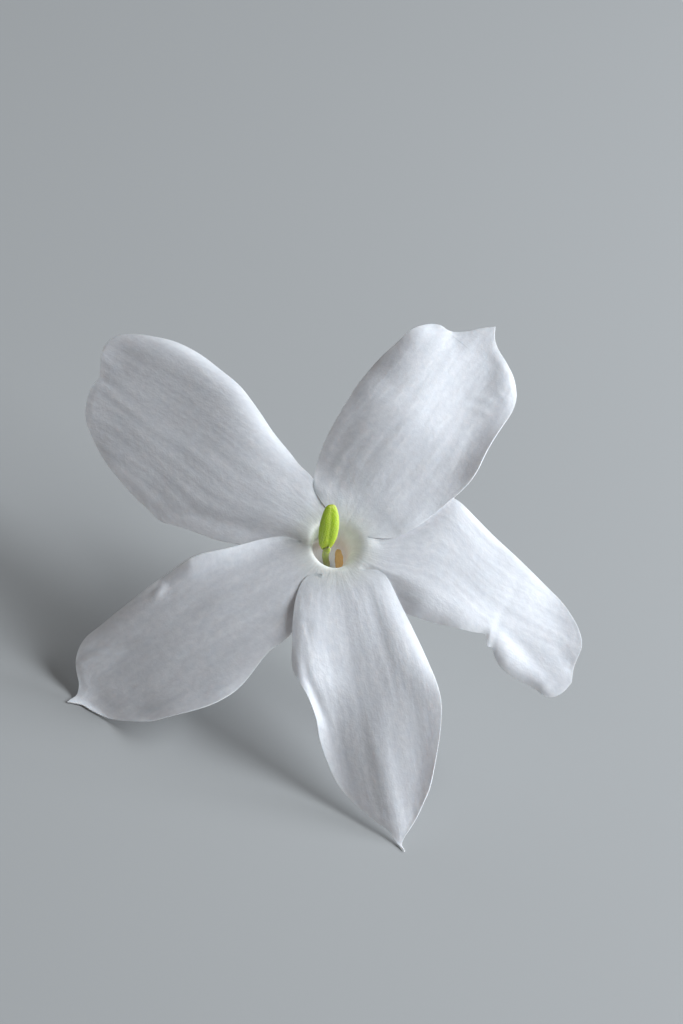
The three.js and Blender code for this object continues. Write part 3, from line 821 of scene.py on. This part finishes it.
def makePetalMaterial(name, streaks, cells, isFace):
    material, tree, shader = startMaterial(name)
    place = addNode(tree, "ShaderNodeTexCoord").outputs["Object"]
    pattern = addNode(tree, "ShaderNodeUVMap", uv_map="pattern").outputs["UV"]
    veins = addNode(tree, "ShaderNodeGroup", node_tree=streaks)
    tree.links.new(pattern, veins.inputs["Place"])
    skin = addNode(tree, "ShaderNodeGroup", node_tree=cells)
    tree.links.new(place, skin.inputs["Place"])
    skin.inputs["Size"].default_value = petalLook["grain"]
    white, shade = petalLook["white"], petalLook["shade"]
    colour = mixColour(tree, scaled(tree, veins.outputs["Lines"], -0.55, 0.55), white, shade)
    colour = mixColour(tree, scaled(tree, veins.outputs["Mottle"], -0.45, 0.45), colour, shade)
    down = addNode(tree, "ShaderNodeSeparateXYZ", {0: pattern}).outputs["Y"]  # below 0 in the tube
    if isFace:
        green = nearMouth(tree, place, 1.2, 4.2)
        colour = mixColour(tree, scaled(tree, green, 0.36), colour, petalLook["throatGreen"])
        onWall = ramp(tree, down, -0.5, -1)
        # painted shade: the left wall just inside the mouth is darkened towards lipShade
        lip = scaled(tree, nearMouth(tree, place, 0.7, 1.6, (-1.5, 0.2, -0.4)), onWall)
        # painted shade: less painted glow in the shaded hollow beside the style, deep in the mouth
        hollow = nearMouth(tree, place, 0.8, 2.6, (-1, -0.2, -3))
        colour = mixColour(tree, scaled(tree, lip, 0.8), colour, petalLook["lipShade"])
        # painted glow: the tube's inner wall emits light in place of the light that comes through its wall,
        # with less under the painted lip shade and in the hollow
        glow = scaled(tree, ramp(tree, down, -0.2, -1), ramp(tree, down, -18.5, -9.5))
        glow = scaled(tree, glow, scaled(tree, lip, -1, 1))
        glow = scaled(tree, glow, scaled(tree, hollow, -0.6, 1))
        glow = mixColour(tree, glow, (0, 0, 0), petalLook["throughLight"])
        tree.links.new(glow, shader.inputs["Emission Color"])
        shader.inputs["Emission Strength"].default_value = 1
    else:
        towardsFoot = scaled(tree, ramp(tree, down, -4.5, -16.5), 0.75)
        colour = mixColour(tree, towardsFoot, colour, petalLook["tubeGreen"])
    tree.links.new(colour, shader.inputs["Base Color"])
    roughness = scaled(tree, skin.outputs["Grain"], 0.25, petalLook["roughness"] - 0.12)
    tree.links.new(roughness, shader.inputs["Roughness"])
    shader.inputs["Subsurface Weight"].default_value = 0.85
    shader.inputs["Subsurface Radius"].default_value = (1.0, 0.9, 0.85)
    shader.inputs["Subsurface Scale"].default_value = 0.00018
    shader.inputs["Specular IOR Level"].default_value = 0.35
    shader.inputs["Sheen Weight"].default_value = 0.12
    shader.inputs["Sheen Roughness"].default_value = 0.5
    fine = addNode(
        tree, "ShaderNodeMath", {0: skin.outputs["Relief"], 1: 0.15, 2: veins.outputs["Relief"]},
        operation="MULTIPLY_ADD",
    )
    bump = addNode(tree, "ShaderNodeBump", {"Height": fine.outputs[0], "Strength": 1.0, "Distance": 0.000024})
    tree.links.new(bump.outputs[0], shader.inputs["Normal"])
    return material


greens = {
    "calyx": {"dark": (0.09, 0.17, 0.03), "light": (0.22, 0.33, 0.07), "grain": 0.00012, "roughness": 0.55},
    "stalk": {"dark": (0.06, 0.13, 0.025), "light": (0.15, 0.25, 0.06), "grain": 0.0001, "roughness": 0.5},
}


def makeGreenMaterial(name, look, streaks, cells):
    material, tree, shader = startMaterial(name)
    place = addNode(tree, "ShaderNodeTexCoord").outputs["Object"]
    pattern = addNode(tree, "ShaderNodeUVMap", uv_map="pattern").outputs["UV"]
    veins = addNode(tree, "ShaderNodeGroup", node_tree=streaks)
    tree.links.new(pattern, veins.inputs["Place"])
    skin = addNode(tree, "ShaderNodeGroup", node_tree=cells)
    tree.links.new(place, skin.inputs["Place"])
    skin.inputs["Size"].default_value = look["grain"]
    colour = mixColour(tree, veins.outputs["Lines"], look["dark"], look["light"])
    tree.links.new(colour, shader.inputs["Base Color"])
    roughness = scaled(tree, skin.outputs["Grain"], 0.3, look["roughness"] - 0.15)
    tree.links.new(roughness, shader.inputs["Roughness"])
    shader.inputs["Subsurface Weight"].default_value = 0.15
    shader.inputs["Subsurface Scale"].default_value = 0.0004
    fine = addNode(
        tree, "ShaderNodeMath", {0: skin.outputs["Relief"], 1: 0.5, 2: veins.outputs["Relief"]},
        operation="MULTIPLY_ADD",
    )
    bump = addNode(tree, "ShaderNodeBump", {"Height": fine.outputs[0], "Strength": 0.5, "Distance": 0.00006})
    tree.links.new(bump.outputs[0], shader.inputs["Normal"])
    return material


def makeStigmaMaterial(cells):
    material, tree, shader = startMaterial("stigmaGreen")
    place = addNode(tree, "ShaderNodeTexCoord").outputs["Object"]
    pattern = addNode(tree, "ShaderNodeUVMap", uv_map="pattern").outputs["UV"]
    skin = addNode(tree, "ShaderNodeGroup", node_tree=cells)
    tree.links.new(place, skin.inputs["Place"])
    skin.inputs["Size"].default_value = 0.00011
    parts = addNode(tree, "ShaderNodeSeparateXYZ", {0: pattern})  # the stigma's map has its middle at X 9
    fromMiddle = addNode(tree, "ShaderNodeMath", {0: parts.outputs["X"], 1: -9.0}, operation="ADD")
    fromMiddle = addNode(tree, "ShaderNodeMath", {0: fromMiddle.outputs[0]}, operation="ABSOLUTE")
    edge = addNode(
        tree, "ShaderNodeMapRange", {"Value": fromMiddle.outputs[0], "From Min": 0.25, "From Max": 0.78}
    )
    colour = mixColour(tree, skin.outputs["Grain"], (0.35, 0.44, 0.025), (0.42, 0.52, 0.04))
    colour = mixColour(tree, scaled(tree, edge.outputs[0], 0.5), colour, (0.4, 0.5, 0.12))
    isStyle = addNode(tree, "ShaderNodeMath", {0: parts.outputs["X"], 1: 7.0}, operation="LESS_THAN")
    colour = mixColour(tree, isStyle.outputs[0], colour, (0.28, 0.31, 0.10))
    tree.links.new(colour, shader.inputs["Base Color"])
    tree.links.new(scaled(tree, skin.outputs["Grain"], 0.3, 0.3), shader.inputs["Roughness"])
    shader.inputs["Subsurface Weight"].default_value = 0.9
    shader.inputs["Subsurface Scale"].default_value = 0.0016
    shader.inputs["Subsurface Radius"].default_value = (0.8, 1.0, 0.3)
    bump = addNode(
        tree, "ShaderNodeBump", {"Height": skin.outputs["Relief"], "Strength": 0.6, "Distance": 0.00005}
    )
    tree.links.new(bump.outputs[0], shader.inputs["Normal"])
    return material


def makeAntherMaterial(cells):
    material, tree, shader = startMaterial("antherYellow")
    place = addNode(tree, "ShaderNodeTexCoord").outputs["Object"]
    skin = addNode(tree, "ShaderNodeGroup", node_tree=cells)
    tree.links.new(place, skin.inputs["Place"])
    skin.inputs["Size"].default_value = 0.00006
    colour = mixColour(tree, skin.outputs["Grain"], (0.72, 0.36, 0.08), (0.86, 0.58, 0.27))
    tree.links.new(colour, shader.inputs["Base Color"])
    shader.inputs["Roughness"].default_value = 0.85
    # painted glow: emission that stands in for the same light coming through the tube's wall
    shader.inputs["Emission Color"].default_value = (0.09, 0.07, 0.035, 1)
    shader.inputs["Emission Strength"].default_value = 1
    bump = addNode(
        tree, "ShaderNodeBump", {"Height": skin.outputs["Relief"], "Strength": 0.9, "Distance": 0.00004}
    )
    tree.links.new(bump.outputs[0], shader.inputs["Normal"])
    return material


stage = {"floorSize": 4.0, "floorGrey": 0.34, "floorRoughness": 0.8, "world": 0.105}


def makeFloor():
    bpy.ops.object.select_all(action="DESELECT")
    bpy.ops.mesh.primitive_plane_add(size=stage["floorSize"])
    floor = bpy.context.object
    floor.name = "floor"
    floor.location.z = -0.02 * mm
    material, tree, shader = startMaterial("paleFloor")
    place = addNode(tree, "ShaderNodeTexCoord").outputs["Object"]
    noise = addNode(tree, "ShaderNodeTexNoise", {"Vector": place, "Scale": 9.0, "Detail": 2.0})
    grey = stage["floorGrey"]
    colour = mixColour(tree, noise.outputs["Fac"], (grey * 0.98,) * 3, (grey * 1.02,) * 3)
    tree.links.new(colour, shader.inputs["Base Color"])
    shader.inputs["Roughness"].default_value = stage["floorRoughness"]
    shader.inputs["Specular IOR Level"].default_value = 0.2
    floor.data.materials.append(material)


camera = {
    "lens": 120,  # mm, on a 36 mm sensor
    "distance": 250.88,  # mm from the mouth's plane
    "tilt": 20,  # degrees between the line of sight and the flower's axis
    "roll": 23.1,  # degrees
    "offset": (-0.478, -2.426),  # mm, the mouth from the middle of the view
}


def viewAxes():  # right, up and towards the camera, in the part's frame
    elevation = math.radians(lying["axisElevation"])
    tilt, roll = math.radians(camera["tilt"]), math.radians(camera["roll"])
    side = np.array([1, 0, 0])
    rise = np.array([0, math.sin(elevation), math.cos(elevation)])
    axis = np.array([0, -math.cos(elevation), math.sin(elevation)])
    toCamera = math.cos(tilt) * axis - math.sin(tilt) * rise
    lifted = math.cos(tilt) * rise + math.sin(tilt) * axis
    right = math.cos(roll) * side + math.sin(roll) * lifted
    up = -math.sin(roll) * side + math.cos(roll) * lifted
    return right, up, toCamera


def makeCamera():
    right, up, toCamera = viewAxes()
    x, y = camera["offset"]
    place = (np.array(lying["mouth"]) + camera["distance"] * toCamera - x * right - y * up) * mm
    data = bpy.data.cameras.new("viewer")
    data.lens = camera["lens"]
    data.clip_start = 0.01
    viewer = bpy.data.objects.new("viewer", data)
    bpy.context.scene.collection.objects.link(viewer)
    matrix = Matrix([[*row, 0] for row in np.stack([right, up, toCamera], axis=1)] + [[0, 0, 0, 1]])
    matrix.translation = Vector(place)
    viewer.matrix_world = matrix
    bpy.context.scene.camera = viewer


lights = {  # bearing round the flower and angle from the line out of its mouth, both in degrees
    "key": {
        "bearing": 35, "angle": 74, "size": 0.5, "distance": 0.5,  # m
        "power": 6.0, "colour": (0.87, 0.94, 1),
    },
    "fill": {
        "bearing": 250, "angle": 20, "size": 0.5, "distance": 0.8,
        "power": 0.42, "colour": (1, 0.97, 0.93),
    },
}


def makeLights():
    middle = flowerToPart([(0, 0, 0)])[0] * mm
    for name, given in lights.items():
        bearing, angle = math.radians(given["bearing"]), math.radians(given["angle"])
        aim = (math.sin(angle) * math.cos(bearing), math.sin(angle) * math.sin(bearing), math.cos(angle))
        direction = Vector(flowerToPart([aim])[0] - np.array(lying["mouth"]))
        bpy.ops.object.light_add(type="AREA", location=Vector(middle) + given["distance"] * direction)
        lamp = bpy.context.object
        lamp.name = name
        lamp.data.shape = "DISK"
        lamp.data.size = given["size"]
        lamp.data.energy = given["power"]
        lamp.data.color = given["colour"]
        lamp.rotation_euler = direction.to_track_quat("Z", "Y").to_euler()
    world = bpy.data.worlds.new("studio")
    world.use_nodes = True
    background = world.node_tree.nodes["Background"]
    background.inputs["Color"].default_value = (1, 0.98, 0.94, 1)
    background.inputs["Strength"].default_value = stage["world"]
    bpy.context.scene.world = world


makeCamera()
makeFloor()
makeLights()
print("stage ready")
streaks, cells = makeStreaks(), makeCells()
makeCorolla(
    makePetalMaterial("petalFace", streaks, cells, True),
    makePetalMaterial("petalBack", streaks, cells, False),
)
makeCalyx(makeGreenMaterial("calyxGreen", greens["calyx"], streaks, cells))
makeStalk(makeGreenMaterial("stalkGreen", greens["stalk"], streaks, cells))
makePistil(makeStigmaMaterial(cells))
antherMaterial = makeAntherMaterial(cells)
makeStamen("antherRight", "stamen_right", "right", antherMaterial)
makeStamen("antherLeft", "stamen_left", "left", antherMaterial)
bpy.context.scene.view_settings.view_transform = "Standard"
